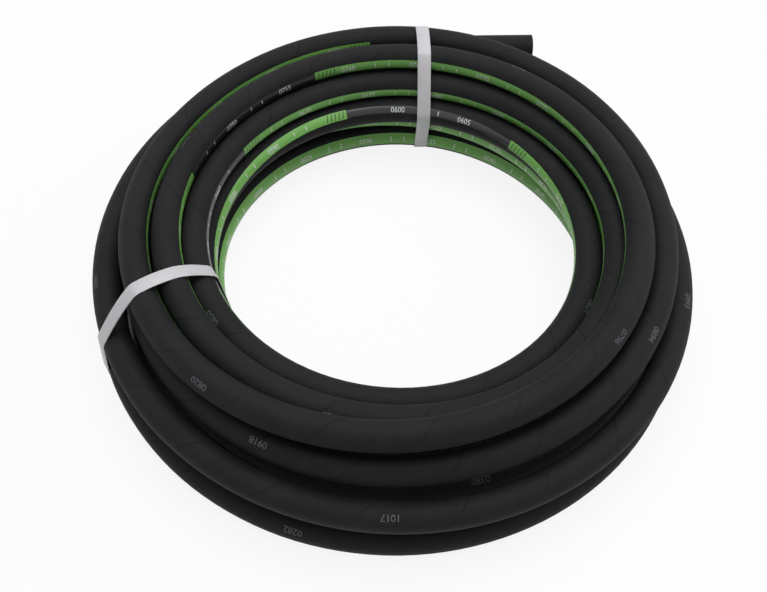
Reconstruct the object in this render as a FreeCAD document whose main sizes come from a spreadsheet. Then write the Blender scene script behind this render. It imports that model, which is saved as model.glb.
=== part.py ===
import FreeCAD, Part
import math
import os

# Coil of two-wire compact hydraulic hose, size 3/8 in, held by two straps.
# The hose is five layers, one in another, and each layer is one unbroken tube
# from the inner end on the floor to the start of the free outer end.
# Bearings are in degrees clockwise from the far side (+Y), seen from above.

SIZES = (
    ("bore", 9.5),
    ("tube_wall", 1.35),
    ("inner_braid_wall", 0.55),
    ("interply_wall", 0.25),
    ("outer_braid_wall", 0.55),
    ("cover_wall", 1.25),
    ("hole_width", 220.0),
    ("turn_gap", 0.6),
    ("floor_cut", 0.5),
    ("free_length", 96.0),
    ("free_flare", 3.0),
    ("strap_width", 9.0),
    ("strap_thickness", 0.6),
    ("strap_gap", 0.4),
    ("strap_off_floor", 0.1),
    ("far_strap_bearing", 5.8),
    ("far_strap_skew", 9.2),
    ("left_strap_bearing", 246.3),
    ("left_strap_skew", 9.4),
)

# How the hose winds, as a count of lanes out from the hole and of layers up
# from the floor. Turns are counted clockwise from where the upper loops begin
# at the far side, so the loops before that are negative. Between two rows the
# spiral keeps one steady rate, and EASE_TURNS is the part of a turn on either side
# of a row in which one rate passes into the next.
LANES = (
    (-6.4, -0.35),
    (-6.05, 0.7),
    (-4.2, 2.55),
    (-3.45, 3.65),
    (-3.2, 3.35),
    (-2.8, 2.55),
    (-0.8, 0.55),
    (-0.45, 0.1),
    (0.65, 0.15),
    (1.25, 1.05),
    (1.6, 1.05),
    (2.25, 1.5),
    (3.0, 2.65),
    (3.9, 2.15),
    (4.35, 3.55),
    (4.75, 3.3),
    (5.0, 3.6),
)
LAYERS = (
    (-6.4, 0.0),
    (-3.35, 0.0),
    (-3.15, 1.0),
    (-0.95, 1.0),
    (-0.55, 1.15),
    (0.5, 2.45),
    (1.05, 2.7),
    (1.8, 3.15),
    (2.0, 3.5),
    (2.45, 3.8),
    (2.75, 2.85),
    (3.05, 3.5),
    (3.65, 2.0),
    (4.15, 2.05),
    (4.45, 1.4),
    (5.0, 1.98),
)
EASE_TURNS = 0.15
CIRCLE = 360.0
RIGHT_ANGLE = 90.0

# A station every eighth of a turn, and points along each arc for the measuring.
STATIONS_PER_TURN = 8
POINTS_PER_ARC = 16
LEAST_GAP = 0.4


def write_sizes(doc):
    """Put the driving sizes, and those that follow from them, in the sheet."""
    sheet = doc.addObject("Spreadsheet::Sheet", "Sizes")
    for row, (alias, value) in enumerate(SIZES, start=1):
        sheet.set("A%d" % row, alias)
        sheet.set("B%d" % row, str(value))
        sheet.setAlias("B%d" % row, alias)
    doc.recompute()
    return sheet


class Hose:
    """The hose's layers and the line that its middle follows, in mm."""

    def __init__(self, sheet):
        self.size = {alias: float(sheet.get(alias)) for alias, _ in SIZES}
        size = self.size
        self.radii = [size["bore"] / 2]
        for wall in ("tube_wall", "inner_braid_wall", "interply_wall", "outer_braid_wall", "cover_wall"):
            self.radii.append(self.radii[-1] + size[wall])
        self.radius = self.radii[-1]
        self.pitch = 2 * self.radius + size["turn_gap"]
        self.first_lane = size["hole_width"] / 2 + self.radius
        self.floor_level = self.radius - size["floor_cut"]
        strap_room = size["strap_off_floor"] + size["strap_thickness"] + size["strap_gap"]
        self.strap_lift = strap_room + size["floor_cut"]

    def lift(self, turn):
        """Height that the pile gains as it rides over the straps under it."""
        height = 0.0
        for strap in ("far_strap", "left_strap"):
            bearing = self.size[strap + "_bearing"]
            away = abs((turn * CIRCLE - bearing + CIRCLE / 2) % CIRCLE - CIRCLE / 2)
            if away < RIGHT_ANGLE:
                height += self.strap_lift * math.cos(math.radians(away)) ** 2
        return height

    def place(self, turn):
        """Middle of the hose at a turn."""
        reach = self.first_lane + self.pitch * eased(LANES, turn)
        level = self.floor_level + self.pitch * eased(LAYERS, turn) + self.lift(turn)
        bearing = 2 * math.pi * turn
        return FreeCAD.Vector(reach * math.sin(bearing), reach * math.cos(bearing), level)

    def heading(self, turn):
        """Direction of the hose at a turn."""
        step = 0.001
        ahead = self.place(turn + step) - self.place(turn - step)
        return ahead.normalize()

    def path(self):
        """Edges of the wound stretch, straight for one diameter at each end, and its last frame."""
        first = LANES[0][0]
        last = LANES[-1][0]
        turns = [first]
        station = math.floor(first * STATIONS_PER_TURN) + 1
        while station <= last * STATIONS_PER_TURN:
            turns.append(station / STATIONS_PER_TURN)
            station += 1
        places = [self.place(turn) for turn in turns]
        headings = [self.heading(turn) for turn in turns]
        up = FreeCAD.Vector(0, 0, 1)
        headings[0] = level_out(headings[0])
        flare = FreeCAD.Rotation(up, self.size["free_flare"])
        headings[-1] = flare.multVec(level_out(headings[-1]))
        straight = 2 * self.radius
        start = places[0] - headings[0] * straight
        end = places[-1] + headings[-1] * straight
        edges = [Part.LineSegment(start, places[0]).toShape()]
        for here, there, leave, arrive in zip(places, places[1:], headings, headings[1:]):
            edges += biarc(here, leave, there, arrive)
        edges.append(Part.LineSegment(places[-1], end).toShape())
        return edges, start, headings[0], end, headings[-1]


def eased(rows, turn):
    """Value at a turn of a line through rows whose corners are eased."""
    rates = [(b[1] - a[1]) / (b[0] - a[0]) for a, b in zip(rows, rows[1:])]
    value = rows[0][1] + rates[0] * (turn - rows[0][0])
    for row, before, after in zip(rows[1:], rates, rates[1:]):
        past = turn - row[0]
        if past > EASE_TURNS:
            value += (after - before) * past
        elif past > -EASE_TURNS:
            value += (after - before) * (past + EASE_TURNS) ** 2 / (4 * EASE_TURNS)
    return value


def level_out(direction):
    """The same heading with no climb."""
    flat = FreeCAD.Vector(direction.x, direction.y, 0)
    return flat.normalize()


def arc(start, heading, end):
    """Arc that leaves start along heading and reaches end."""
    chord = end - start
    across = heading - chord * (heading.dot(chord) / chord.dot(chord))
    half_turn = heading.getAngle(chord)
    bulge = chord.Length / 2 * math.tan(half_turn / 2)
    middle = (start + end) / 2 + across.normalize() * bulge
    return Part.Arc(start, middle, end).toShape()


def biarc(start, leave, end, arrive):
    """Two arcs, tangent to each other, from one frame to the next."""
    gap = end - start
    spread = 2 * (1 - leave.dot(arrive))
    along = 2 * gap.dot(leave + arrive)
    reach = (math.sqrt(along ** 2 + 4 * spread * gap.dot(gap)) - along) / (2 * spread)
    joint = (start + end + (leave - arrive) * reach) / 2
    through = (end - arrive * reach) - (start + leave * reach)
    return [arc(start, leave, joint), arc(joint, through.normalize(), end)]


def measure(edges, diameter):
    """Print the length, the bends and the least gap between turns."""
    points = []
    for edge in edges:
        points += edge.discretize(POINTS_PER_ARC)[:-1]
    length = sum(edge.Length for edge in edges)
    bends = [edge.Curve.Radius for edge in edges[1:-1]]
    run = [0.0]
    for here, there in zip(points, points[1:]):
        run.append(run[-1] + here.distanceToPoint(there))
    apart = math.pi * diameter * 4
    least = None
    for i, here in enumerate(points):
        for j in range(i + 1, len(points)):
            if run[j] - run[i] < apart:
                continue
            gap = here.distanceToPoint(points[j]) - diameter
            if least is None or gap < least[0]:
                least = (gap, here, points[j])
    print("wound length %.0f mm, bends from %.0f to %.0f mm" % (length, min(bends), max(bends)))
    print("least gap of the hose to itself %.2f mm, over %.1f asked" % (least[0], LEAST_GAP))
    print("between (%.0f, %.0f, %.0f) and (%.0f, %.0f, %.0f)" % (tuple(least[1]) + tuple(least[2])))
    return points


def swept_skin(edges, start, heading, radius):
    """Open skin of the given radius along the path."""
    ring = Part.Wire([Part.makeCircle(radius, start, heading)])
    sweep = Part.BRepOffsetAPI.MakePipeShell(Part.Wire(edges))
    sweep.add(ring)
    sweep.build()
    return sweep.shape()


def end_ring(skin, place):
    """Round edge in which an open skin ends at a place."""
    for edge in skin.Edges:
        if edge.Closed and edge.CenterOfMass.distanceToPoint(place) < 0.01:
            return Part.Wire([edge])
    raise RuntimeError("a skin has no open end at its place")


def tube(outside, inside, ends):
    """Solid between two skins, closed by a flat ring at each end."""
    lining = inside.copy()
    lining.reverse()
    faces = outside.Faces + lining.Faces
    for place in ends:
        rings = [end_ring(outside, place), end_ring(inside, place)]
        faces.append(Part.makeFace(rings, "Part::FaceMakerBullseye"))
    return Part.Solid(Part.Shell(faces))


def feature(doc, name, shape):
    """Document object for a shape, under its name."""
    node = doc.addObject("Part::Feature", name)
    node.Label = name
    node.Shape = shape
    node.Placement = FreeCAD.Placement()
    return node


def stub(doc, name, outer, inner, frame):
    """Straight tube of the free end, bound to the sheet's sizes."""
    length = "Sizes.free_length - Sizes.bore - 2 * (%s)" % WALLS_EXPRESSION
    body = doc.addObject("Part::Cylinder", name + "_body")
    body.setExpression("Radius", outer)
    body.setExpression("Height", length)
    hole = doc.addObject("Part::Cylinder", name + "_hole")
    hole.setExpression("Radius", inner)
    hole.setExpression("Height", length)
    node = doc.addObject("Part::Cut", name)
    node.Label = name
    node.Base = body
    node.Tool = hole
    node.Placement = frame
    return node


LAYER_NAMES = ("inner_tube", "inner_braid", "interply", "outer_braid", "cover")
WALL_NAMES = ("tube_wall", "inner_braid_wall", "interply_wall", "outer_braid_wall", "cover_wall")
WALLS_EXPRESSION = " + ".join("Sizes." + wall for wall in WALL_NAMES)


def radius_expression(layers):
    """Expression for the radius outside a count of layers."""
    terms = ["Sizes.bore / 2"] + ["Sizes." + wall for wall in WALL_NAMES[:layers]]
    return " + ".join(terms)


def crossings(points, bearing, offset):
    """Where the hose crosses the upright plane beside a bearing, as reach and level."""
    angle = math.radians(bearing)
    out = FreeCAD.Vector(math.sin(angle), math.cos(angle), 0)
    side = FreeCAD.Vector(math.cos(angle), -math.sin(angle), 0)
    found = []
    for here, there in zip(points, points[1:]):
        a = here.dot(side) - offset
        b = there.dot(side) - offset
        if (a < 0) != (b < 0) and here.dot(out) > 0:
            place = here + (there - here) * (a / (a - b))
            found.append((place.dot(out), place.z))
    return found


def hull(spots):
    """Corners of the shape that a tight band takes round the spots, turning left."""
    spots = sorted(set(spots))
    corners = []
    for row in (spots, spots[::-1]):
        side = []
        for spot in row:
            while len(side) > 1 and turns_right(side[-2], side[-1], spot):
                side.pop()
            side.append(spot)
        corners += side[:-1]
    return corners


def turns_right(a, b, c):
    """Whether the way from a by b to c bends right or runs straight."""
    return (b[0] - a[0]) * (c[1] - a[1]) - (b[1] - a[1]) * (c[0] - a[0]) <= 0


def band_outline(corners, radius, side):
    """Closed wire at a distance outside the corners, upright at Y = side."""
    edges = []
    count = len(corners)
    normals = []
    for here, there in zip(corners, corners[1:] + corners[:1]):
        run = FreeCAD.Vector(there[0] - here[0], 0, there[1] - here[1]).normalize()
        normals.append(FreeCAD.Vector(run.z, 0, -run.x) * radius)
    for k in range(count):
        middle = FreeCAD.Vector(corners[k][0], side, corners[k][1])
        after = corners[(k + 1) % count]
        following = FreeCAD.Vector(after[0], side, after[1])
        come = normals[k - 1]
        leave = normals[k]
        crown = (come + leave).normalize() * radius
        edges.append(Part.Arc(middle + come, middle + crown, middle + leave).toShape())
        edges.append(Part.LineSegment(middle + leave, following + leave).toShape())
    return Part.Wire(edges)


def strap(doc, name, points, hose):
    """Band pulled tight round the pile, turned by its skew where it crosses the pile's middle."""
    size = hose.size
    skew = size[name + "_skew"]
    bearing = size[name + "_bearing"] - skew
    middle = size["hole_width"] / 2 + 2 * hose.pitch
    aside = middle * math.sin(math.radians(skew))
    near_edge = aside - size["strap_width"] / 2
    far_edge = aside + size["strap_width"] / 2
    spots = []
    for offset in (near_edge, aside, far_edge):
        spots += crossings(points, bearing, offset)
    corners = hull(spots)
    inner_radius = hose.radius + size["strap_gap"]
    inside = band_outline(corners, inner_radius, -far_edge)
    outside = band_outline(corners, inner_radius + size["strap_thickness"], -far_edge)
    face = Part.Face(outside)
    face = face.cut(Part.Face(inside)).Faces[0]
    solid = face.extrude(FreeCAD.Vector(0, size["strap_width"], 0))
    node = feature(doc, name, solid)
    across = FreeCAD.Rotation(FreeCAD.Vector(0, 0, 1), RIGHT_ANGLE - bearing)
    node.Placement = FreeCAD.Placement(FreeCAD.Vector(), across)
    return node


def centred(nodes):
    """Move all nodes, which stand on the floor, so that their common box is about the Z axis."""
    box = FreeCAD.BoundBox()
    for node in nodes:
        box.add(node.Shape.optimalBoundingBox(False, False))
    shift = FreeCAD.Vector(-box.Center.x, -box.Center.y, 0)
    for node in nodes:
        spot = node.Placement
        spot.Base = spot.Base + shift
        node.Placement = spot
    print("moved by (%.3f, %.3f), box %.1f x %.1f mm" % (shift.x, shift.y, box.XLength, box.YLength))


def main():
    doc = FreeCAD.newDocument("hose_coil")
    sheet = write_sizes(doc)
    hose = Hose(sheet)
    edges, start, first_heading, end, last_heading = hose.path()
    points = measure(edges, 2 * hose.radius)

    nodes = []
    skins = [swept_skin(edges, start, first_heading, radius) for radius in hose.radii]
    floor_size = 4 * hose.first_lane + 8 * hose.pitch
    below_floor = Part.makeBox(floor_size, floor_size, hose.pitch)
    below_floor.translate(FreeCAD.Vector(-floor_size / 2, -floor_size / 2, -hose.pitch))
    free_frame = FreeCAD.Placement(end, FreeCAD.Rotation(FreeCAD.Vector(0, 0, 1), last_heading))
    for layer, name in enumerate(LAYER_NAMES):
        solid = tube(skins[layer + 1], skins[layer], (start, end))
        if name == "cover":
            solid = solid.cut(below_floor).Solids[0]
        nodes.append(feature(doc, name + "_coil", solid))
        outer = radius_expression(layer + 1)
        inner = radius_expression(layer)
        nodes.append(stub(doc, name + "_free_end", outer, inner, free_frame))

    size = hose.size
    held = points + [end, end + last_heading * (size["free_length"] - 2 * hose.radius)]
    nodes.append(strap(doc, "far_strap", held, hose))
    nodes.append(strap(doc, "left_strap", held, hose))
    doc.recompute()
    centred(nodes)
    doc.recompute()

    os.makedirs("parts", exist_ok=True)
    for node in nodes:
        shape = node.Shape
        if "Invalid" in node.State or "Error" in node.State:
            raise RuntimeError("%s did not compute" % node.Label)
        if shape.isNull() or not shape.isValid() or len(shape.Solids) != 1:
            raise RuntimeError("%s is not one valid solid" % node.Label)
        shape.exportStep("parts/%s.step" % node.Label)
        print("%s %.1f cm3" % (node.Label, shape.Volume / 1000))


main()
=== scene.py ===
"""Blender pieces for a coil of two-wire hydraulic hose held by two plastic straps.

The hose is wound from the same turns, lanes and layers as the CAD model. Every
layer of its wall, the green line with its marks and the running numbers follow
one route spline, and the straps are pulled tight round the turns that they meet.
"""
import bisect
import logging
import math
import random
from dataclasses import dataclass, field
from enum import Enum
from typing import Sequence

import bmesh
import bpy
from mathutils import Matrix, Vector


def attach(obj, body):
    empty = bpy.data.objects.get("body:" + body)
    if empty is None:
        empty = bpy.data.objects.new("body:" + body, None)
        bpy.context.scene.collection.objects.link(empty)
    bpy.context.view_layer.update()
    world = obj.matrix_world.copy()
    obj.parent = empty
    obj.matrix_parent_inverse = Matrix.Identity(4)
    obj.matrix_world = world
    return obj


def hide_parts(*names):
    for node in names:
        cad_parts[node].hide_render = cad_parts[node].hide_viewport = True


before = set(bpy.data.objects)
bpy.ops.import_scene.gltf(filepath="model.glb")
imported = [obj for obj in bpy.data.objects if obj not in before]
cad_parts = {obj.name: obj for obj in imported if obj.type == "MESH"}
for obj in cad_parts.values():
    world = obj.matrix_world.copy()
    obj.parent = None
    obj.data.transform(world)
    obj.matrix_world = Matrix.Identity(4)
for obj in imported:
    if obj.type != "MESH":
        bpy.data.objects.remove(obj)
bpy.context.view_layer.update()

LOG = logging.getLogger("hose_coil")
BODY = "root"
FULL_TURN = 2 * math.pi
FULL_CIRCLE = 360.0

Row = tuple[float, float]
Colour = tuple[float, float, float, float]
# Place on the hose's middle line, with the directions ahead, away and up.
Spot = tuple[Vector, Vector, Vector, Vector]

# Lanes out from the hole and layers up from the floor, by turn. The turns are
# counted clockwise from where the upper loops begin at the far side.
LANES = (
    (-6.4, -0.35), (-6.05, 0.7), (-4.2, 2.55), (-3.45, 3.65), (-3.2, 3.35), (-2.8, 2.55),
    (-0.8, 0.55), (-0.45, 0.1), (0.65, 0.15), (1.25, 1.05), (1.6, 1.05), (2.25, 1.5),
    (3.0, 2.65), (3.9, 2.15), (4.35, 3.55), (4.75, 3.3), (5.0, 3.6),
)
LAYERS = (
    (-6.4, 0.0), (-3.35, 0.0), (-3.15, 1.0), (-0.95, 1.0), (-0.55, 1.15), (0.5, 2.45),
    (1.05, 2.7), (1.8, 3.15), (2.0, 3.5), (2.45, 3.8), (2.75, 2.85), (3.05, 3.5),
    (3.65, 2.0), (4.15, 2.05), (4.45, 1.4), (5.0, 1.98),
)

# Turns at the middle of the green line's black stretches.
LINE_GAPS = (-5.5, -4.45, -3.3, -2.3, -1.45, 0.032, 0.755, 1.856, 3.038, 3.9, 4.45)
# Turn, and angle of the green line in degrees from the side away from the
# coil's axis over the top.
LINE_ANGLES = (
    (-6.4, 165.0), (-5.0, 172.0), (-1.3, 178.0), (-0.9, 180.0), (-0.35, 180.0), (-0.22, 160.0),
    (-0.08, 131.0), (0.06, 140.0), (0.14, 160.0), (0.25, 184.0), (0.7, 170.0), (0.9, 183.0),
    (1.1, 193.0), (1.7, 180.0), (1.95, 174.0), (2.1, 182.0), (2.25, 196.0), (2.7, 184.0),
    (2.97, 172.0), (3.12, 192.0), (3.3, 184.0), (3.6, 196.0), (5.0, 218.0),
)
# Turn, and width of the green line in metres.
LINE_WIDTHS = (
    (-6.4, 0.0094), (-0.7, 0.0094), (-0.4, 0.0064), (5.0, 0.0064),
)


class Wall(Enum):
    """Layers of the hose wall, from the bore outwards."""

    INNER_TUBE = "inner_tube"
    INNER_BRAID = "inner_braid"
    INTERPLY = "interply"
    OUTER_BRAID = "outer_braid"
    COVER = "cover"


def eased(rows: Sequence[Row], turn: float, ease: float) -> float:
    """Value at a turn of a line through rows whose corners are eased.

    Args:
        rows: Turn and value, in rising turns.
        turn: Where the value is wanted.
        ease: Part of a turn, on either side of a row, that takes its corner.

    Returns:
        The eased value.
    """
    rates = [(b[1] - a[1]) / (b[0] - a[0]) for a, b in zip(rows, rows[1:])]
    value = rows[0][1] + rates[0] * (turn - rows[0][0])
    for row, before, after in zip(rows[1:], rates, rates[1:]):
        past = turn - row[0]
        if past > ease:
            value += (after - before) * past
        elif past > -ease:
            value += (after - before) * (past + ease) ** 2 / (4 * ease)
    return value


@dataclass(frozen=True)
class Winding:
    """Sizes of the hose and how it winds, in metres, turns and degrees.

    The route's first points lie at lead_in, in hose widths ahead of the inner
    end, and its last ones at run_out, as parts of the free end.
    """

    bore: float = 0.0095
    walls: tuple[float, ...] = (0.00135, 0.00055, 0.00025, 0.00055, 0.00125)
    hole_width: float = 0.220
    turn_gap: float = 0.0006
    floor_cut: float = 0.0005
    free_length: float = 0.096
    free_flare: float = 3.0
    strap_width: float = 0.009
    strap_thickness: float = 0.0006
    strap_gap: float = 0.0004
    strap_off_floor: float = 0.0001
    strap_bearings: tuple[float, float] = (5.8, 246.3)
    strap_skews: tuple[float, float] = (9.2, 9.4)
    ease: float = 0.15
    axis: tuple[float, float] = (0.001515, -0.004005)
    points_per_turn: int = 16
    lead_in: tuple[float, ...] = (-1.0, -0.45, 0.1)
    run_out: tuple[float, ...] = (0.02, 0.25, 0.6, 1.0)

    @property
    def radii(self) -> list[float]:
        """Radius of the bore and of the outside of each wall."""
        found = [self.bore / 2]
        for wall in self.walls:
            found.append(found[-1] + wall)
        return found

    @property
    def radius(self) -> float:
        """Outside radius of the hose."""
        return self.radii[-1]

    @property
    def pitch(self) -> float:
        """Distance from one turn to the next beside it."""
        return 2 * self.radius + self.turn_gap

    def lift(self, turn: float) -> float:
        """Height that the pile gains where it rides over the straps."""
        rise = self.strap_off_floor + self.strap_thickness + self.strap_gap + self.floor_cut
        height = 0.0
        for bearing in self.strap_bearings:
            half = FULL_CIRCLE / 2
            away = abs((turn * FULL_CIRCLE - bearing + half) % FULL_CIRCLE - half)
            if away < half / 2:
                height += rise * math.cos(math.radians(away)) ** 2
        return height

    def place(self, turn: float, stretch: float = 1.0) -> Vector:
        """Middle of the hose at a turn.

        Args:
            turn: Turn from the start of the upper loops.
            stretch: Factor on the distance from the coil's axis.

        Returns:
            The place in the row frame.
        """
        reach = self.hole_width / 2 + self.radius + self.pitch * eased(LANES, turn, self.ease)
        level = self.radius - self.floor_cut + self.pitch * eased(LAYERS, turn, self.ease)
        bearing = FULL_TURN * turn
        return Vector((
            self.axis[0] + stretch * reach * math.sin(bearing),
            self.axis[1] + stretch * reach * math.cos(bearing),
            level + self.lift(turn),
        ))

    def heading(self, turn: float) -> Vector:
        """Level direction of the hose at a turn."""
        step = 0.001
        ahead = self.place(turn + step) - self.place(turn - step)
        return Vector((ahead.x, ahead.y, 0)).normalized()

    def route(self) -> list[Vector]:
        """Control points of the route spline, from the inner end to the free one."""
        first, last = LANES[0][0], LANES[-1][0]
        count = round((last - first) * self.points_per_turn)
        # A quadratic spline cuts inside its control points by this factor.
        inside = (3 + math.cos(FULL_TURN / self.points_per_turn)) / 4
        stretch = 1 / inside
        start, leave = self.place(first), self.heading(first)
        end = self.place(last)
        arrive = Matrix.Rotation(math.radians(self.free_flare), 3, "Z") @ self.heading(last)
        width = 2 * self.radius
        points = [start + leave * (width * part) for part in self.lead_in]
        for k in range(1, count):
            points.append(self.place(first + (last - first) * k / count, stretch))
        points += [end + arrive * (self.free_length * part) for part in self.run_out]
        return points


class Route:
    """The middle line of the hose, read from one smooth spline.

    Attributes:
        winding: Sizes of the hose and how it winds.
        points: Points along the line.
        run: Length of hose up to each point.
        bearings: Turn at each point.
    """

    def __init__(self, winding: Winding) -> None:
        """Make the spline and read its points."""
        self.winding = winding
        data = bpy.data.curves.new("hose_route", "CURVE")
        data.dimensions = "3D"
        data.resolution_u = 10
        spline = data.splines.new("NURBS")
        controls = winding.route()
        spline.points.add(len(controls) - 1)
        for point, place in zip(spline.points, controls):
            point.co = (*place, 1.0)
        spline.order_u = 3
        spline.use_endpoint_u = True
        curve = bpy.data.objects.new("hose_route", data)
        bpy.context.scene.collection.objects.link(curve)
        bpy.context.view_layer.update()
        mesh = bpy.data.meshes.new_from_object(curve)
        self.points = [vertex.co.copy() for vertex in mesh.vertices]
        bpy.data.meshes.remove(mesh)
        bpy.data.objects.remove(curve)
        self.run = [0.0]
        for here, there in zip(self.points, self.points[1:]):
            self.run.append(self.run[-1] + (there - here).length)
        self.bearings = self._bearings()

    @property
    def length(self) -> float:
        """Length of the hose."""
        return self.run[-1]

    def _bearings(self) -> list[float]:
        """Turn at each point, growing along the hose."""
        axis = self.winding.axis
        turns: list[float] = []
        for point in self.points:
            turn = math.atan2(point.x - axis[0], point.y - axis[1]) / FULL_TURN
            if turns:
                turn += round(turns[-1] - turn)
            else:
                turn += round(LANES[0][0] - turn)
            turns.append(turn)
        return turns

    @staticmethod
    def _between(values: list[float], value: float) -> tuple[int, float]:
        """Point after a value in a rising list, and the share of the way to it."""
        k = min(max(bisect.bisect_left(values, value), 1), len(values) - 1)
        step = values[k] - values[k - 1]
        return k, (value - values[k - 1]) / step if step else 0.0

    def along(self, turn: float) -> float:
        """Length of hose up to a turn."""
        k, share = self._between(self.bearings, turn)
        return self.run[k - 1] + share * (self.run[k] - self.run[k - 1])

    def turn(self, along: float) -> float:
        """Turn at a length of hose."""
        k, share = self._between(self.run, along)
        return self.bearings[k - 1] + share * (self.bearings[k] - self.bearings[k - 1])

    def frame(self, along: float) -> Spot:
        """Place and directions at a length of hose.

        Args:
            along: Length of hose from the inner end.

        Returns:
            The place, the direction ahead, the direction away from the
            coil's axis, and the direction up.
        """
        k, share = self._between(self.run, along)
        here = self.points[k - 1].lerp(self.points[k], share)
        ahead = self._tangent(k - 1).lerp(self._tangent(k), min(max(share, 0.0), 1.0)).normalized()
        away = Vector((here.x - self.winding.axis[0], here.y - self.winding.axis[1], 0))
        away = (away - ahead * away.dot(ahead)).normalized()
        return here, ahead, away, ahead.cross(away)

    def _tangent(self, k: int) -> Vector:
        """Direction of the line at a point."""
        low, high = max(k - 1, 0), min(k + 1, len(self.points) - 1)
        return (self.points[high] - self.points[low]).normalized()


def new_piece(name: str, mesh: bpy.types.Mesh, *nodes: str, slot: str | None = None) -> bpy.types.Object:
    """Link a mesh as a piece that rides on the coil's body.

    Args:
        name: Name of the piece.
        mesh: Its mesh, in the row frame.
        nodes: CAD nodes that it stands for.
        slot: Material slot of the record; not used.

    Returns:
        The piece.
    """
    piece = bpy.data.objects.new(name, mesh)
    bpy.context.scene.collection.objects.link(piece)
    return settle(piece, *nodes, slot=slot)


def settle(piece: bpy.types.Object, *nodes: str, slot: str | None = None) -> bpy.types.Object:
    """Let a piece ride on the body and stand for its nodes."""
    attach(piece, BODY)
    if nodes:
        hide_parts(*nodes)
    LOG.info("%s: %d faces", piece.name, len(piece.data.polygons))
    return piece


def deselect() -> None:
    """Leave nothing selected and no object in edit mode."""
    if bpy.context.object and bpy.context.object.mode != "OBJECT":
        bpy.ops.object.mode_set(mode="OBJECT")
    bpy.ops.object.select_all(action="DESELECT")


class Wire:
    """A shader value that takes part in Python expressions."""

    def __init__(self, graph: "Graph", socket: bpy.types.NodeSocket) -> None:
        """Keep the node tree and the output socket."""
        self.graph = graph
        self.socket = socket

    def _maths(self, operation: str, *terms: "Wire | float") -> "Wire":
        """Add a Math node on the terms."""
        return self.graph.node("ShaderNodeMath", {"operation": operation}, list(terms))

    def __add__(self, other: "Wire | float") -> "Wire":
        """Sum."""
        return self._maths("ADD", self, other)

    __radd__ = __add__

    def __sub__(self, other: "Wire | float") -> "Wire":
        """Difference."""
        return self._maths("SUBTRACT", self, other)

    def __rsub__(self, other: "Wire | float") -> "Wire":
        """Difference, the other way round."""
        return self._maths("SUBTRACT", other, self)

    def __mul__(self, other: "Wire | float") -> "Wire":
        """Product."""
        return self._maths("MULTIPLY", self, other)

    __rmul__ = __mul__

    def wave(self) -> "Wire":
        """Sine."""
        return self._maths("SINE", self)

    def part(self) -> "Wire":
        """Part past the whole number."""
        return self._maths("FRACT", self)

    def ramp(self, low: float, high: float) -> "Wire":
        """Rise from 0 at low to 1 at high, and stay within them."""
        settings = {"interpolation_type": "SMOOTHSTEP", "clamp": True}
        values = {"Value": self, "From Min": low, "From Max": high}
        return self.graph.node("ShaderNodeMapRange", settings, values)


class Graph:
    """A node tree of shader maths."""

    def __init__(self, tree: bpy.types.NodeTree) -> None:
        """Keep the tree."""
        self.tree = tree

    def node(
        self,
        kind: str,
        settings: dict[str, object],
        values: "dict[str, object] | Sequence[object]",
        output: str | int = 0,
    ) -> Wire:
        """Add a node.

        Args:
            kind: Type of the node.
            settings: Its properties, which are set first.
            values: Numbers, colours or wires for its sockets, by name or in
                order.
            output: Which output is wanted.

        Returns:
            The output as a wire.
        """
        made = self.tree.nodes.new(kind)
        for name, value in settings.items():
            setattr(made, name, value)
        pairs = values.items() if isinstance(values, dict) else enumerate(values)
        for key, value in pairs:
            self.feed(made.inputs[key], value)
        return Wire(self, made.outputs[output])

    def feed(self, socket: bpy.types.NodeSocket, value: object) -> None:
        """Link or set one socket."""
        if isinstance(value, Wire):
            self.tree.links.new(value.socket, socket)
        else:
            socket.default_value = value

    def mix(self, factor: "Wire | float", low: object, high: object) -> Wire:
        """Colour between two colours."""
        return self.node("ShaderNodeMix", {"data_type": "RGBA"}, {0: factor, 6: low, 7: high}, 2)

    def coordinates(self, output: str) -> Wire:
        """Texture coordinates of the piece itself."""
        return self.node("ShaderNodeTexCoord", {}, {}, output)

    def axis(self, vector: Wire, name: str) -> Wire:
        """One component of a vector."""
        return self.node("ShaderNodeSeparateXYZ", {}, {"Vector": vector}, name)

    def noise(self, vector: Wire, scale: float, detail: float = 2.0, roughness: float = 0.5) -> Wire:
        """Noise from 0 to 1."""
        values = {"Vector": vector, "Scale": scale, "Detail": detail, "Roughness": roughness}
        return self.node("ShaderNodeTexNoise", {}, values, "Fac")

    def bump(self, height: Wire, distance: float, strength: float = 1.0) -> Wire:
        """Normal from a height between 0 and 1."""
        values = {"Strength": strength, "Distance": distance, "Height": height}
        return self.node("ShaderNodeBump", {}, values, "Normal")

    def seen(self) -> Wire:
        """1 for what the camera, a gloss or a clear body sees, 0 for what lights the object."""
        kinds = ("Is Camera Ray", "Is Glossy Ray", "Is Transmission Ray")
        camera, gloss, clear = (self.node("ShaderNodeLightPath", {}, {}, kind) for kind in kinds)
        return (camera + gloss + clear).ramp(0.0, 1.0)


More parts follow.
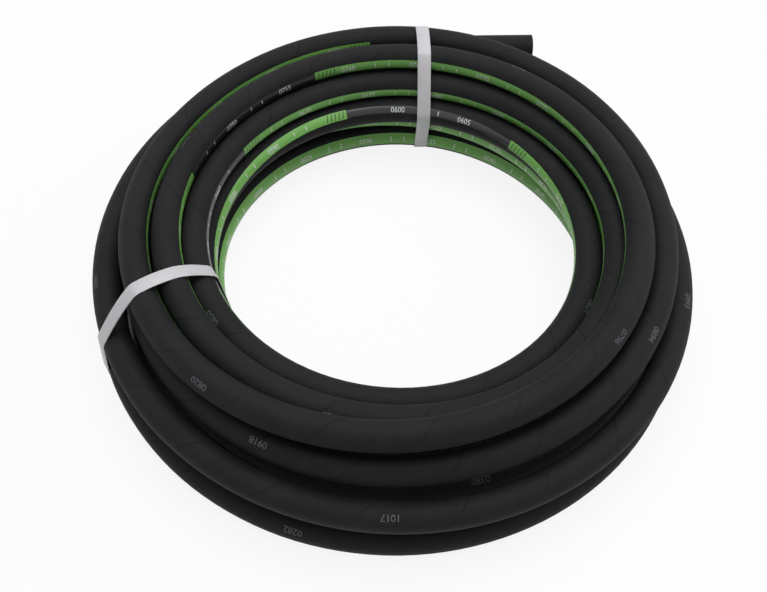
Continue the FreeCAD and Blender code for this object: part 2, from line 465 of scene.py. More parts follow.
class Finish(Graph):
    """A material's node tree and its Principled shader."""

    def __init__(self, name: str) -> None:
        """Make the material."""
        self.material = bpy.data.materials.new(name)
        self.material.use_nodes = True
        super().__init__(self.material.node_tree)
        self.shader = self.tree.nodes["Principled BSDF"]

    def finish(self, **sockets: object) -> bpy.types.Material:
        """Set the shader's sockets, with _ for a space, and give the material."""
        for name, value in sockets.items():
            self.feed(self.shader.inputs[name.replace("_", " ")], value)
        return self.material

    def wrap(self) -> tuple[Wire, Wire]:
        """Length along and place across, from the UV map."""
        flat = self.coordinates("UV")
        return self.axis(flat, "X"), self.axis(flat, "Y")

    def glow(self, factor: Wire) -> None:
        """Mix a white glow over the shader by a factor."""
        white = self.node("ShaderNodeEmission", {}, {"Strength": 1.0})
        shaded = Wire(self, self.shader.outputs["BSDF"])
        both = self.node("ShaderNodeMixShader", {}, [factor, shaded, white])
        self.feed(self.tree.nodes["Material Output"].inputs["Surface"], both)


def grey(level: float) -> Colour:
    """Plain grey of a linear level."""
    return (level, level, level, 1.0)


@dataclass(frozen=True)
class CoverRubber:
    """Matt black rubber cured in a cloth wrap, which leaves its weave and its edge; along the edge the colour
    is painted darker as shade in the groove.
    """

    colour: Colour = (0.0085, 0.0086, 0.0095, 1.0)
    dusty: Colour = (0.0125, 0.0127, 0.0137, 1.0)
    worn: Colour = (0.034, 0.034, 0.036, 1.0)
    # Painted shade: this colour darkens the cover along the wrap's lap line.
    lap_painted_shade: Colour = (0.002, 0.002, 0.0022, 1.0)
    wrap_pitch: float = 0.050
    weave_pitch: float = 0.0007

    def make(self) -> bpy.types.Material:
        """The material, which reads metres along and turns round from the UV map."""
        graph = Finish("cover_rubber")
        along, around = graph.wrap()
        solid = graph.coordinates("Object")
        girth = math.pi * Winding().radius * 2
        threads_along = (along * (FULL_TURN / self.weave_pitch)).wave()
        threads_around = (around * (FULL_TURN * round(girth / self.weave_pitch))).wave()
        weave = threads_along * threads_around * 0.5 + 0.5
        wander = graph.noise(solid, 14.0, 2.0) * 0.35
        lap = (along * (1 / self.wrap_pitch) + around + wander).part()
        lap_groove_and_shade = 1 - lap.ramp(0.0, 0.016) * (1 - lap.ramp(0.982, 1.0))
        mottle = graph.noise(solid, 38.0, 3.0)
        grain = graph.noise(solid, 2600.0, 2.0)
        scuff = graph.noise(solid, 150.0, 4.0, 0.7).ramp(0.69, 0.78)
        tone = graph.mix(mottle.ramp(0.3, 0.7), self.colour, self.dusty)
        tone = graph.mix(scuff * 0.5, tone, self.worn)
        # Painted shade: the colour is darkened in the lap line's groove; the same mask also sinks the groove
        # in the bump.
        tone = graph.mix(lap_groove_and_shade * 0.75, tone, self.lap_painted_shade)
        height = weave * 0.35 + grain * 0.45 + (1 - lap_groove_and_shade) * 0.8
        rough = 0.60 + mottle * 0.12 + scuff * 0.08
        return graph.finish(
            Base_Color=tone,
            Roughness=rough,
            Normal=graph.bump(height, 0.00022, 0.8),
            Specular_IOR_Level=0.14,
        )


@dataclass(frozen=True)
class LineInk:
    """Printed line: a flat colour with fine wear."""

    name: str
    colour: Colour
    worn: Colour
    roughness: float
    wear: float

    def make(self) -> bpy.types.Material:
        """The material."""
        graph = Finish(self.name)
        solid = graph.coordinates("Object")
        rubbed = graph.noise(solid, 900.0, 3.0, 0.65).ramp(0.55, 0.72) * self.wear
        cloudy = graph.noise(solid, 60.0, 2.0)
        tone = graph.mix(rubbed, self.colour, self.worn)
        tone = graph.mix(cloudy * 0.25, tone, tuple(c * 0.75 for c in self.colour[:3]) + (1.0,))
        grain = graph.noise(solid, 2200.0, 2.0)
        return graph.finish(
            Base_Color=tone,
            Roughness=self.roughness + cloudy * 0.08,
            Normal=graph.bump(grain, 0.00006, 0.6),
        )


@dataclass(frozen=True)
class StrapPlastic:
    """White packing band with a fine pressed pattern along it."""

    colour: Colour = (0.56, 0.555, 0.58, 1.0)
    soiled: Colour = (0.42, 0.415, 0.43, 1.0)
    rib_pitch: float = 0.0011

    def make(self) -> bpy.types.Material:
        """The material, which reads metres along and across from the UV map."""
        graph = Finish("strap_plastic")
        along, across = graph.wrap()
        ribs_up = ((along + across) * (FULL_TURN / self.rib_pitch)).wave()
        ribs_down = ((along - across) * (FULL_TURN / self.rib_pitch)).wave()
        pressed = ribs_up * ribs_down * 0.5 + 0.5
        dust = graph.noise(graph.coordinates("Object"), 120.0, 4.0, 0.6)
        tone = graph.mix(dust.ramp(0.5, 0.85) * 0.5, self.colour, self.soiled)
        return graph.finish(
            Base_Color=tone,
            Roughness=0.38 + dust * 0.15,
            Normal=graph.bump(pressed, 0.00008, 0.5),
        )


@dataclass(frozen=True)
class PlainRubber:
    """Smooth black rubber of the tube and the interply."""

    name: str
    level: float
    roughness: float

    def make(self) -> bpy.types.Material:
        """The material."""
        graph = Finish(self.name)
        cloudy = graph.noise(graph.coordinates("Object"), 300.0, 3.0)
        tone = graph.mix(cloudy, grey(self.level), grey(self.level * 1.6))
        return graph.finish(
            Base_Color=tone,
            Roughness=self.roughness + cloudy * 0.1,
            Normal=graph.bump(cloudy, 0.00005, 0.5),
        )


@dataclass(frozen=True)
class BraidWire:
    """Brass-coated steel wire, cut bright at the ends, with painted shade in the hollows of its weave."""

    name: str
    strand: float = 0.0022
    strands: float = 12.0
    # Painted shade: a darker brass for the hollows of the weave.
    hollow_painted_shade: Colour = (0.30, 0.22, 0.11, 1.0)
    crown: Colour = (0.66, 0.54, 0.32, 1.0)

    def make(self) -> bpy.types.Material:
        """The material, which reads metres along and turns round from the UV map."""
        graph = Finish(self.name)
        along, around = graph.wrap()
        along, around = along * (1 / self.strand), around * self.strands
        over = ((along + around) * FULL_TURN).wave() * ((along - around) * FULL_TURN).wave()
        height = over * 0.5 + 0.5
        # Painted shade: the colour darkens from the brass of the crowns into the weave's hollows.
        tone = graph.mix(height, self.hollow_painted_shade, self.crown)
        return graph.finish(
            Base_Color=tone,
            Metallic=0.9,
            Roughness=0.42 - height * 0.12,
            Normal=graph.bump(height, 0.00015, 0.8),
        )


@dataclass(frozen=True)
class CutWire:
    """Bright cut faces of steel wire."""

    colour: Colour = (0.56, 0.52, 0.44, 1.0)

    def make(self) -> bpy.types.Material:
        """The material."""
        graph = Finish("cut_wire")
        spots = graph.noise(graph.coordinates("Object"), 3000.0, 2.0)
        tone = graph.mix(spots, self.colour, grey(0.30))
        return graph.finish(Base_Color=tone, Metallic=1.0, Roughness=0.28 + spots * 0.2)


class Hose:
    """The hose wall: five layers, one in another, each swept along the route."""

    SLOTS = {
        Wall.INNER_TUBE: "tube_rubber",
        Wall.INNER_BRAID: "inner_wire",
        Wall.INTERPLY: "interply_rubber",
        Wall.OUTER_BRAID: "outer_wire",
        Wall.COVER: "cover_rubber",
    }

    def __init__(self, route: Route) -> None:
        """Keep the route and its sizes."""
        self.route = route
        self.winding = route.winding
        self.sides = 32
        self.ring_step = {wall: 0.024 for wall in Wall}
        self.ring_step[Wall.COVER] = 0.008
        self.rings: list[Spot] = []

    def stations(self, step: float) -> list[float]:
        """Lengths of hose at which a layer has its rings."""
        count = math.ceil(self.route.length / step)
        return [self.route.length * k / count for k in range(count + 1)]

    def layer(self, wall: Wall) -> bpy.types.Object:
        """Sweep one layer as a closed wall with flat ends.

        Args:
            wall: Which layer.

        Returns:
            The piece.
        """
        order = list(Wall).index(wall)
        inner, outer = self.winding.radii[order], self.winding.radii[order + 1]
        stations = self.stations(self.ring_step[wall])
        frames = [self.route.frame(along) for along in stations]
        if wall is Wall.COVER:
            self.rings = frames
        made = bmesh.new()
        made.loops.layers.uv.new("wrap")
        skins = [[self._ring(made, spot, radius) for spot in frames] for radius in (inner, outer)]
        for skin, turned in zip(skins, (False, True)):
            self._skin(made, skin, stations, turned)
        for row, turned in ((0, True), (-1, False)):
            self._end(made, skins[0][row], skins[1][row], stations[row], turned)
        mesh = bpy.data.meshes.new(wall.value)
        made.to_mesh(mesh)
        made.free()
        nodes = ("%s_coil" % wall.value, "%s_free_end" % wall.value)
        piece = new_piece("hose_%s" % wall.value, mesh, *nodes, slot=self.SLOTS[wall])
        mesh.shade_smooth()
        mesh.set_sharp_from_angle(angle=math.radians(50))
        return piece

    def _corner(self, spot: Spot, side: int, radius: float) -> Vector:
        """One corner of a ring, flat where it meets the floor."""
        here, _, away, up = spot
        angle = FULL_TURN * side / self.sides
        point = here + (away * math.cos(angle) + up * math.sin(angle)) * radius
        point.z = max(point.z, 0.0)
        return point

    def _ring(self, made: bmesh.types.BMesh, spot: Spot, radius: float) -> list:
        """One ring of points."""
        return [made.verts.new(self._corner(spot, k, radius)) for k in range(self.sides)]

    def on_cover(self, along: float, angle: float, proud: float) -> Vector:
        """Place on the faces of the cover.

        Args:
            along: Length of hose from the inner end.
            angle: Angle round the hose in degrees, from the side away from
                the coil's axis over the top.
            proud: Height over the faces.

        Returns:
            The place in the row frame.
        """
        steps = len(self.rings) - 1
        run = min(max(along / self.route.length * steps, 0.0), steps - 0.000001)
        turned = angle / FULL_CIRCLE * self.sides
        k, side = int(run), math.floor(turned)
        ends = []
        for spot in (self.rings[k], self.rings[k + 1]):
            near = self._corner(spot, side, self.winding.radius)
            ends.append(near.lerp(self._corner(spot, side + 1, self.winding.radius), turned - side))
        place = ends[0].lerp(ends[1], run - k)
        return place + (place - self.rings[k][0].lerp(self.rings[k + 1][0], run - k)).normalized() * proud

    def _face(self, made: bmesh.types.BMesh, corners: list[tuple], turned: bool) -> None:
        """Face through corners, each with its length of hose and its side, in order or turned over."""
        if turned:
            corners.reverse()
        face = made.faces.new([corner[0] for corner in corners])
        uv = made.loops.layers.uv[0]
        for loop, (_, along, side) in zip(face.loops, corners):
            loop[uv].uv = (along, side / self.sides)

    def _skin(self, made: bmesh.types.BMesh, rings: list, stations: list[float], turned: bool) -> None:
        """Faces between neighbouring rings."""
        for i in range(len(rings) - 1):
            for k in range(self.sides):
                after = (k + 1) % self.sides
                corners = [
                    (rings[i][k], stations[i], k),
                    (rings[i][after], stations[i], k + 1),
                    (rings[i + 1][after], stations[i + 1], k + 1),
                    (rings[i + 1][k], stations[i + 1], k),
                ]
                self._face(made, corners, turned)

    def _end(self, made: bmesh.types.BMesh, inner: list, outer: list, along: float, turned: bool) -> None:
        """Flat ring that closes one end of the wall."""
        middle = self.route.frame(along)[0]
        for k in range(self.sides):
            after = (k + 1) % self.sides
            around = (inner[k], outer[k], outer[after], inner[after])
            corners = [(vertex, along + (vertex.co - middle).length, k) for vertex in around]
            self._face(made, corners, turned)

    def build(self) -> None:
        finishes = {
            Wall.INNER_TUBE: PlainRubber("tube_rubber", 0.016, 0.35),
            Wall.INNER_BRAID: BraidWire("inner_wire"),
            Wall.INTERPLY: PlainRubber("interply_rubber", 0.02, 0.6),
            Wall.OUTER_BRAID: BraidWire("outer_wire"),
            Wall.COVER: CoverRubber(),
        }
        layers = []
        for wall in Wall:
            layers.append(self.layer(wall))
            layers[-1].data.materials.append(finishes[wall].make())
        cover = layers.pop()
        on_it = Layline(self).build() + [RunningNumbers(self).build()] + WireEnds(self).build()
        tuple(self.route.points[0])
        self.route.length
        2 * self.winding.radius
        [tuple(point) for point in self.route.points]
        layers + on_it


class Digits:
    """Plain printed digits, each cut once from text and then laid on the hose."""

    ADVANCE = 0.66

    def __init__(self, row: float = 0.16) -> None:
        """Make the ten digits at a height of about one, in rows that can bend."""
        self.shapes = {digit: self._cut(digit, row) for digit in "0123456789"}

    def _cut(self, digit: str, row: float) -> tuple[list[Vector], list[tuple[int, ...]]]:
        """Points and faces of one digit."""
        deselect()
        bpy.ops.object.text_add()
        text = bpy.context.object
        text.data.body = digit
        text.data.size = 1.4
        text.data.align_x = "CENTER"
        text.data.resolution_u = 2
        bpy.ops.object.convert(target="MESH")
        made = bmesh.new()
        made.from_mesh(text.data)
        bmesh.ops.remove_doubles(made, verts=made.verts, dist=0.0001)
        for k in range(1, math.ceil(1 / row)):
            parts = made.verts[:] + made.edges[:] + made.faces[:]
            level = (0, k * row, 0)
            bmesh.ops.bisect_plane(made, geom=parts, plane_co=level, plane_no=(0, 1, 0), dist=0.0001)
        made.verts.index_update()
        points = [vertex.co - Vector((0, 0.5, 0)) for vertex in made.verts]
        faces = [tuple(vertex.index for vertex in face.verts) for face in made.faces]
        made.free()
        bpy.ops.object.delete()
        return points, faces

    def lay(self, sheet: "Print", number: str, along: float, angle: float, height: float) -> None:
        """Print a number.

        Args:
            sheet: The print that it goes into.
            number: The digits.
            along: Length of hose at its middle.
            angle: Angle round the hose at its middle.
            height: Height of a digit.
        """
        for k, digit in enumerate(number):
            shift = (k - (len(number) - 1) / 2) * self.ADVANCE
            points, faces = self.shapes[digit]
            spots = [(along + (point.x + shift) * height, angle, point.y * height) for point in points]
            sheet.faces(spots, faces)


class Print:
    """A sheet of flat marks that lies on the cover."""

    def __init__(self, hose: Hose, name: str, proud: float) -> None:
        """Start an empty sheet."""
        self.hose = hose
        self.name = name
        self.proud = proud
        self.points: list[Vector] = []
        self.corners: list[tuple[int, ...]] = []

    def faces(self, spots: Sequence[tuple[float, float, float]], faces: Sequence[tuple[int, ...]]) -> None:
        """Add faces.

        Args:
            spots: Length of hose, angle and height over that angle.
            faces: Corners of each face, turning left seen from outside.
        """
        first = len(self.points)
        per_metre = FULL_CIRCLE / (FULL_TURN * self.hose.winding.radius)
        for along, angle, over in spots:
            self.points.append(self.hose.on_cover(along, angle - over * per_metre, self.proud))
        self.corners += [tuple(first + corner for corner in face) for face in faces]

    def build(self, finish: bpy.types.Material) -> bpy.types.Object:
        """Make the sheet's piece and dress it."""
        mesh = bpy.data.meshes.new(self.name)
        mesh.from_pydata([tuple(point) for point in self.points], [], self.corners)
        mesh.shade_smooth()
        mesh.materials.append(finish)
        return new_piece(self.name, mesh, slot="cover_rubber")


class Layline:
    """Green line along the inner side of the bends, with glossy black stretches in it.

    Attributes:
        gap: Length of a black stretch.
        bars: Thin dark bars that close each end of a green stretch.
        rule_clear: Room that the rule leaves at each end of a green stretch.
        parts: Faces across the line.
    """

    gap = 0.127
    bars = 5
    bar_pitch = 0.0030
    bar_width = 0.0007
    bar_lean = 0.0012
    rule_step = 0.010
    rule_clear = 0.021
    tick = 0.0007
    number_height = 0.0039
    parts = 9

    def __init__(self, hose: Hose) -> None:
        """Keep the hose and find the green and black stretches."""
        self.hose = hose
        self.route = hose.route
        self.digits = Digits()
        middles = [self.route.along(turn) for turn in LINE_GAPS]
        self.black = [(middle - self.gap / 2, middle + self.gap / 2) for middle in middles]
        edges = [0.0] + [edge for stretch in self.black for edge in stretch] + [self.route.length]
        self.green = list(zip(edges[::2], edges[1::2]))

    def angle(self, along: float) -> float:
        """Angle of the line's middle at a length of hose."""
        return eased(LINE_ANGLES, self.route.turn(along), 0.03)

    def half(self, along: float) -> float:
        """Half the line's width at a length of hose."""
        return eased(LINE_WIDTHS, self.route.turn(along), 0.03) / 2

    def strip(self, sheet: Print, start: float, end: float, share: float, lean: float = 0.0) -> None:
        """Add a strip of the line.

        Args:
            sheet: The print that it goes into.
            start: Length of hose where it starts.
            end: Length of hose where it ends.
            share: Part of the line's width that it takes.
            lean: How far its upper edge runs ahead of the lower one.
        """
        step = self.route.length / (len(self.hose.rings) - 1) / 2
        inside = [k * step for k in range(math.ceil(start / step), math.floor(end / step) + 1)]
        runs = [start] + [run for run in inside if start + 0.0002 < run < end - 0.0002] + [end]
        spots = []
        for run in runs:
            reach = self.half(run) * share
            for k in range(self.parts + 1):
                up = k / self.parts
                spots.append((run + lean * up, self.angle(run), reach * (2 * up - 1)))
        wide = self.parts + 1
        rows = [i * wide + k for i in range(len(runs) - 1) for k in range(self.parts)]
        sheet.faces(spots, [(corner, corner + wide, corner + wide + 1, corner + 1) for corner in rows])

    def build(self) -> list[bpy.types.Object]:
        """Make the line's pieces."""
        green = Print(self.hose, "line_green", 0.00005)
        black = Print(self.hose, "line_gloss", 0.00004)
        bars = Print(self.hose, "line_bars", 0.00008)
        white = Print(self.hose, "line_scale", 0.00009)
        for start, end in self.green:
            self.strip(green, start, end, 1.0)
            for k in range(self.bars):
                for run in (start + (k + 0.6) * self.bar_pitch, end - (k + 1.2) * self.bar_pitch):
                    self.strip(bars, run, run + self.bar_width, 0.8, self.bar_lean)
        for start, end in self.black:
            self.strip(black, start, end, 0.8)
        self._scale(white)
        pieces = (
            (green, LineInk("line_green", (0.155, 0.395, 0.080, 1.0), (0.08, 0.20, 0.045, 1.0), 0.40, 0.35)),
            (black, LineInk("line_gloss", grey(0.012), grey(0.008), 0.30, 0.5)),
            (bars, LineInk("line_bars", (0.02, 0.045, 0.015, 1.0), (0.08, 0.17, 0.05, 1.0), 0.5, 0.5)),
            (white, LineInk("line_scale", (0.66, 0.70, 0.66, 1.0), (0.25, 0.40, 0.2, 1.0), 0.45, 0.4)),
        )
        return [sheet.build(ink.make()) for sheet, ink in pieces]

    def _scale(self, white: Print) -> None:
        """Print a plain rule on the line: a number each five centimetres and two ticks between."""
        count = math.floor(self.route.length / self.rule_step)
        for k in range(2, count - 1):
            run = k * self.rule_step
            if any(abs(run - edge) < self.rule_clear for stretch in self.green for edge in stretch):
                continue
            if k % 5 == 0:
                self.digits.lay(white, "%04d" % k, run, self.angle(run), self.number_height)
            elif k % 5 in (2, 3):
                self.strip(white, run - self.tick / 2, run + self.tick / 2, 0.45)


class RunningNumbers:
    """Small worn numbers on the outer side, which count the length of hose."""

    every = 0.245
    height = 0.0040
    angle = 52.0
    first_turn = 2.61

    def __init__(self, hose: Hose) -> None:
        """Keep the hose."""
        self.hose = hose

    def build(self) -> bpy.types.Object:
        """Make the numbers' piece."""
        digits = Digits()
        sheet = Print(self.hose, "running_numbers", 0.00006)
        stray = random.Random(11)
        start = self.hose.route.along(self.first_turn) % self.every
        count = math.floor((self.hose.route.length - start) / self.every)
        for k in range(count + 1):
            along = start + k * self.every + stray.uniform(-0.004, 0.004)
            angle = self.angle + stray.uniform(-14, 14)
            digits.lay(sheet, "%04d" % round(along * 100), along, angle, self.height)
        ink = LineInk("number_ink", (0.085, 0.085, 0.10, 1.0), grey(0.012), 0.6, 1.0)
        return sheet.build(ink.make())


@dataclass
class WireEnds:
    """Cut wires of both braids, which stand in two rings in the hose's end faces."""

    hose: Hose
    wire: float = 0.00015
    proud: float = 0.00012
    counts: tuple[int, int] = (60, 68)

    def build(self) -> list[bpy.types.Object]:
        """Make the wires of each end as one piece."""
        finish = CutWire().make()
        pattern = self._wire()
        radii = self.hose.winding.radii
        stray = random.Random(5)
        pieces = []
        ends = (("wires_inner_end", 0.0, -1.0), ("wires_free_end", self.hose.route.length, 1.0))
        for name, along, forward in ends:
            here, ahead, away, up = self.hose.route.frame(along)
            made = bmesh.new()
            for count, low, high in zip(self.counts, (radii[1], radii[3]), (radii[2], radii[4])):
                for k in range(count):
                    angle = FULL_TURN * (k + stray.uniform(-0.2, 0.2)) / count
                    out = away * math.cos(angle) + up * math.sin(angle)
                    reach = (low + high) / 2 + stray.uniform(-0.6, 0.6) * self.wire
                    first = len(made.verts)
                    made.from_mesh(pattern)
                    made.verts.ensure_lookup_table()
                    turned = Matrix((out, ahead.cross(out) * forward, ahead * forward)).transposed()
                    stand = self.proud * stray.uniform(0.3, 1.0)
                    for vertex in made.verts[first:]:
                        vertex.co = here + out * reach + turned @ (vertex.co + Vector((0, 0, stand)))
            mesh = bpy.data.meshes.new(name)
            made.to_mesh(mesh)
            made.free()
            mesh.materials.append(finish)
            pieces.append(new_piece(name, mesh, slot="outer_wire"))
        bpy.data.meshes.remove(pattern)
        return pieces

    def _wire(self) -> bpy.types.Mesh:
        """One cut wire, with its end face at the origin and its rim broken."""
        deselect()
        deep = 0.0006
        middle = (0, 0, -deep / 2)
        bpy.ops.mesh.primitive_cylinder_add(vertices=8, radius=self.wire, depth=deep, location=middle)
        piece = bpy.context.object
        bpy.ops.object.transform_apply(location=True)
        for edge in piece.data.edges:
            edge.select = all(piece.data.vertices[corner].co.z > -deep / 2 for corner in edge.vertices)
        bpy.ops.object.mode_set(mode="EDIT")
        bpy.ops.mesh.select_mode(type="EDGE")
        bpy.ops.mesh.bevel(offset=self.wire * 0.25, segments=1)
        bpy.ops.object.mode_set(mode="OBJECT")
        pattern = piece.data.copy()
        bpy.ops.object.delete()
        return pattern


@dataclass
class Strap:
    """Closed plastic band pulled tight round the pile.

    Attributes:
        stiffness: Degrees over which the band rounds its bends on top.
        facings: Directions in which its outline is found.
        play: Height of the band's outer face over the cover.
        edge: Width of its broken edges.
        least_step: Least distance between two points of its outline.
    """

    name: str
    bearing: float
    skew: float
    route: Route
    stiffness: float = 9.0
    facings: int = 120
    play: float = 0.0003
    edge: float = 0.00018
    least_step: float = 0.0008
    outline: list[Row] = field(default_factory=list)

    def build(self, finish: bpy.types.Material) -> bpy.types.Object:
        """Make the band and dress it.

        Args:
            finish: The strap's material.

        Returns:
            The band.
        """
        winding = self.route.winding
        self.outline = self._band(self._spots())
        steps = self._steps()
        across = self._side() * winding.strap_width
        deselect()
        bpy.ops.mesh.primitive_plane_add(size=1.0, location=steps[0] + (steps[1] - steps[0]) / 2)
        piece = bpy.context.object
        piece.name = self.name
        corners = (steps[0] - across / 2, steps[0] + across / 2, steps[1] - across / 2, steps[1] + across / 2)
        for vertex, corner in zip(piece.data.vertices, corners):
            vertex.co = corner
        piece.location = (0, 0, 0)
        self._extrude(piece, steps)
        self._unwrap(piece, steps)
        for kind, settings in (
            ("SOLIDIFY", {"thickness": winding.strap_thickness, "offset": -1.0}),
            ("BEVEL", {"width": self.edge, "segments": 2, "limit_method": "ANGLE"}),
        ):
            modifier = piece.modifiers.new(kind.lower(), kind)
            for key, value in settings.items():
                setattr(modifier, key, value)
            bpy.ops.object.modifier_apply(modifier=modifier.name)
        bpy.ops.object.shade_smooth_by_angle(angle=math.radians(35))
        piece.data.materials.clear()
        piece.data.materials.append(finish)
        return settle(piece, self.name.replace("_band", "_strap"), slot="strap_plastic")

    def _out(self) -> Vector:
        """Direction of the strap from its inner side to its outer one."""
        turn = math.radians(self.bearing - self.skew)
        return Vector((math.sin(turn), math.cos(turn), 0))

    def _side(self) -> Vector:
        """Direction across the strap's width."""
        turn = math.radians(self.bearing - self.skew)
        return Vector((math.cos(turn), -math.sin(turn), 0))

    def _root(self) -> Vector:
        """Place on the floor from which the strap's reach counts."""
        winding = self.route.winding
        middle = winding.hole_width / 2 + 2 * winding.pitch
        return Vector((*winding.axis, 0)) + self._side() * (middle * math.sin(math.radians(self.skew)))

    def _spots(self) -> list[Row]:
        """Reach and level where the hose passes under the band's edges and middle."""
        root, out, side = self._root(), self._out(), self._side()
        found = []
        for part in (-0.5, 0.0, 0.5):
            offset = self.route.winding.strap_width * part
            for here, there in zip(self.route.points, self.route.points[1:]):
                a = (here - root).dot(side) - offset
                b = (there - root).dot(side) - offset
                if (a < 0) != (b < 0) and (here - root).dot(out) > 0:
                    place = here.lerp(there, a / (a - b))
                    found.append(((place - root).dot(out), place.z))
        return found

    def _band(self, spots: list[Row]) -> list[Row]:
        """Outline pulled tight round the spots, as reach and level, which its stiffness rounds on top."""
        middle = Vector([sum(spot[k] for spot in spots) / len(spots) for k in (0, 1)])
        around = [Vector(spot) - middle for spot in spots]
        reach = self.route.winding.radius + self.play

        def tight(angle: float) -> float:
            """Distance of the outline's tangent that faces an angle."""
            facing = Vector((math.cos(angle), math.sin(angle)))
            return max(spot.dot(facing) for spot in around) + reach

        def rounded(angle: float) -> float:
            """The same, shared with its neighbours on the upper side."""
            spread = math.radians(self.stiffness) * max(0.0, math.sin(angle))
            return sum(tight(angle + spread * part) for part in (-1, -0.6, -0.2, 0.2, 0.6, 1)) / 6

        outline: list[Row] = []
        tip = 0.002
        for k in range(self.facings):
            angle = FULL_TURN * k / self.facings
            rate = (rounded(angle + tip) - rounded(angle - tip)) / (2 * tip)
            facing = Vector((math.cos(angle), math.sin(angle)))
            place = middle + facing * rounded(angle) + Vector((-facing.y, facing.x)) * rate
            if not outline or (place - Vector(outline[-1])).length > self.least_step:
                outline.append((place.x, place.y))
        return outline

    def _steps(self) -> list[Vector]:
        """Middle of the band's outer face, once round from the foot of the pile."""
        widest = max(range(len(self.outline)), key=lambda k: self.outline[k][0] - self.outline[k][1])
        turned = self.outline[widest:] + self.outline[:widest]
        places = [self._root() + self._out() * spot[0] + Vector((0, 0, spot[1])) for spot in turned]
        return places + [places[0]]

    def _extrude(self, piece: bpy.types.Object, steps: list[Vector]) -> None:
        """Carry the band's open edge on from step to step."""
        far = {2, 3}
        for edge in piece.data.edges:
            edge.select = set(edge.vertices) == far
        for vertex in piece.data.vertices:
            vertex.select = vertex.index in far
        for face in piece.data.polygons:
            face.select = False
        bpy.ops.object.mode_set(mode="EDIT")
        bpy.ops.mesh.select_mode(type="EDGE")
        for here, there in zip(steps[1:], steps[2:]):
            bpy.ops.mesh.extrude_region_move(TRANSFORM_OT_translate={"value": there - here})
        bpy.ops.mesh.select_all(action="SELECT")
        bpy.ops.mesh.remove_doubles(threshold=0.00001)
        bpy.ops.mesh.normals_make_consistent(inside=False)
        bpy.ops.object.mode_set(mode="OBJECT")

    def _unwrap(self, piece: bpy.types.Object, steps: list[Vector]) -> None:
        """UV map in metres along and across the band."""
        run = [0.0]
        for here, there in zip(steps, steps[1:]):
            run.append(run[-1] + (there - here).length)
        mesh = piece.data
        layer = mesh.uv_layers[0] if mesh.uv_layers else mesh.uv_layers.new(name="UVMap")
        for face in mesh.polygons:
            places = [mesh.vertices[k].co for k in face.vertices]
            spots = [self._along(place, steps, run) for place in places]
            for i, place, spot in zip(face.loop_indices, places, spots):
                if max(spots) - spot > run[-1] / 2:
                    spot += run[-1]
                layer.data[i].uv = (spot, (place - self._root()).dot(self._side()))

    def _along(self, place: Vector, steps: list[Vector], run: list[float]) -> float:
        """Distance along the band of its point nearest to a place."""
        flat = place - self._side() * (place - steps[0]).dot(self._side())
        nearest = min(range(len(steps) - 1), key=lambda k: (steps[k] - flat).length)
        return run[nearest]


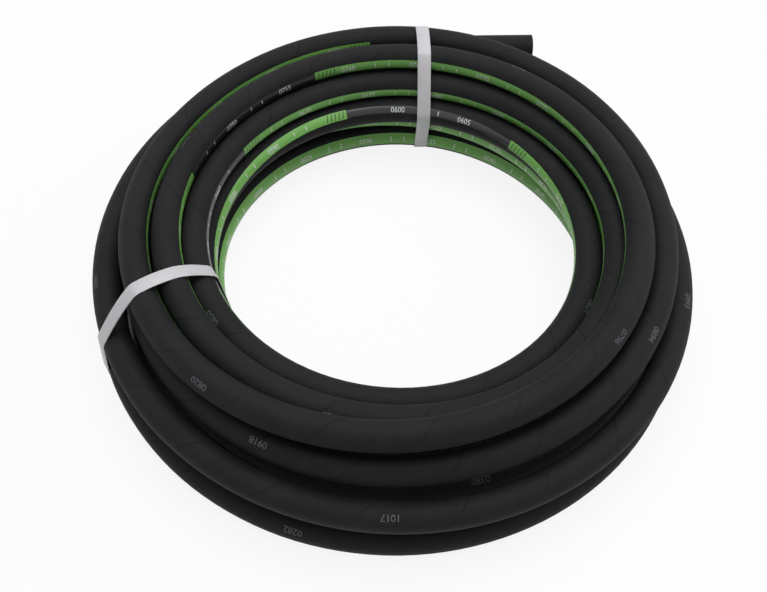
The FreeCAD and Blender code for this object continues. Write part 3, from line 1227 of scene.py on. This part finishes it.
@dataclass
class Studio:
    """Camera at the photo's angle, a pale floor and soft light."""

    place: tuple[float, float, float] = (0.001515, -0.387905, 0.5154)
    pan: float = -0.01609
    tilt: float = 0.94445
    roll: float = 0.02586
    lens: float = 45.15
    aim: tuple[float, float, float] = (0.0, 0.0, 0.03)
    floor_size: float = 14.0
    sky: float = 0.22

    def set_camera(self) -> None:
        """Add the camera."""
        data = bpy.data.cameras.new("camera")
        data.lens = self.lens
        data.sensor_width = 36.0
        data.sensor_fit = "HORIZONTAL"
        data.clip_start = 0.01
        camera = bpy.data.objects.new("camera", data)
        ahead = Vector((
            math.sin(self.pan) * math.cos(self.tilt),
            math.cos(self.pan) * math.cos(self.tilt),
            -math.sin(self.tilt),
        ))
        right = Vector((math.cos(self.pan), -math.sin(self.pan), 0))
        up = right.cross(ahead)
        across = right * math.cos(self.roll) + up * math.sin(self.roll)
        over = up * math.cos(self.roll) - right * math.sin(self.roll)
        turned = Matrix((across, over, -ahead)).transposed()
        camera.matrix_world = Matrix.Translation(Vector(self.place)) @ turned.to_4x4()
        bpy.context.scene.collection.objects.link(camera)
        bpy.context.scene.camera = camera

    def set_floor(self) -> None:
        """Add the floor, which stays white to the camera, keeps a faint shadow and shows a painted shade ring
        under the pile.
        """
        deselect()
        bpy.ops.mesh.primitive_plane_add(size=self.floor_size, location=(0, 0, 0))
        floor = bpy.context.object
        floor.name = "studio_floor"
        floor.data.materials.append(StudioFloor().make())

    def set_light(self) -> None:
        """Add the soft boxes and the pale world."""
        for name, place, size, power in (
            ("top_softbox", (0.0, 0.35, 1.9), 1.6, 30.0),
            ("front_softbox", (-1.2, -1.3, 1.3), 1.4, 2.6),
            ("right_softbox", (1.5, 0.4, 1.1), 1.2, 8.0),
        ):
            data = bpy.data.lights.new(name, "AREA")
            data.shape = "SQUARE"
            data.size = size
            data.energy = power
            lamp = bpy.data.objects.new(name, data)
            turned = (Vector(self.aim) - Vector(place)).to_track_quat("-Z", "Y").to_matrix()
            lamp.matrix_world = Matrix.Translation(Vector(place)) @ turned.to_4x4()
            bpy.context.scene.collection.objects.link(lamp)
        world = bpy.data.worlds.new("studio_world")
        bpy.context.scene.world = world
        world.use_nodes = True
        graph = Graph(world.node_tree)
        backdrop = world.node_tree.nodes["Background"]
        graph.feed(backdrop.inputs["Color"], (1, 1, 1, 1))
        graph.feed(backdrop.inputs["Strength"], graph.seen() * (1 - self.sky) + self.sky)
        bpy.context.scene.view_settings.view_transform = "Standard"


@dataclass(frozen=True)
class StudioFloor:
    """White floor, which looks white to the camera by a white glow, but for a faint shadow of the object and
    a ring under the outer turns where the glow is left out as painted shade.

    Attributes:
        colour: Colour of the plain floor.
        veil: Share of white glow in what the camera sees.
        middle: Middle of the ring under the outer turns, where the glow is left out, so that the floor shows
            darker there as painted shade.
        inside: Distances between which the glow fades out.
        outside: Distances between which it comes back.
    """

    colour: Colour = (0.88, 0.88, 0.88, 1.0)
    veil: float = 0.88
    middle: Row = (0.0015, -0.0040)
    inside: Row = (0.158, 0.164)
    outside: Row = (0.177, 0.181)

    def make(self) -> bpy.types.Material:
        """The material."""
        graph = Finish("studio_floor")
        place = graph.coordinates("Object")
        across = graph.axis(place, "X") - self.middle[0]
        along = graph.axis(place, "Y") - self.middle[1]
        square = across * across + along * along
        fade, back = (square.ramp(low * low, high * high) for low, high in (self.inside, self.outside))
        # Painted shade: no glow in the ring under the outer turns, so the floor there is left darker.
        graph.glow(graph.seen() * (1 - fade + back) * self.veil)
        return graph.finish(Base_Color=self.colour, Roughness=0.9, Specular_IOR_Level=0.0)


def main() -> None:
    """Build the coil."""
    logging.basicConfig(level=logging.INFO, format="%(message)s")
    studio = Studio()
    studio.set_camera()
    route = Route(Winding())
    LOG.info("hose route: %.3f m", route.length)
    Hose(route).build()
    finish = StrapPlastic().make()
    winding = route.winding
    for name, bearing, skew in zip(("far_band", "left_band"), winding.strap_bearings, winding.strap_skews):
        Strap(name, bearing, skew, route).build(finish)
    studio.set_floor()
    studio.set_light()


if __name__ == "__main__":
    main()
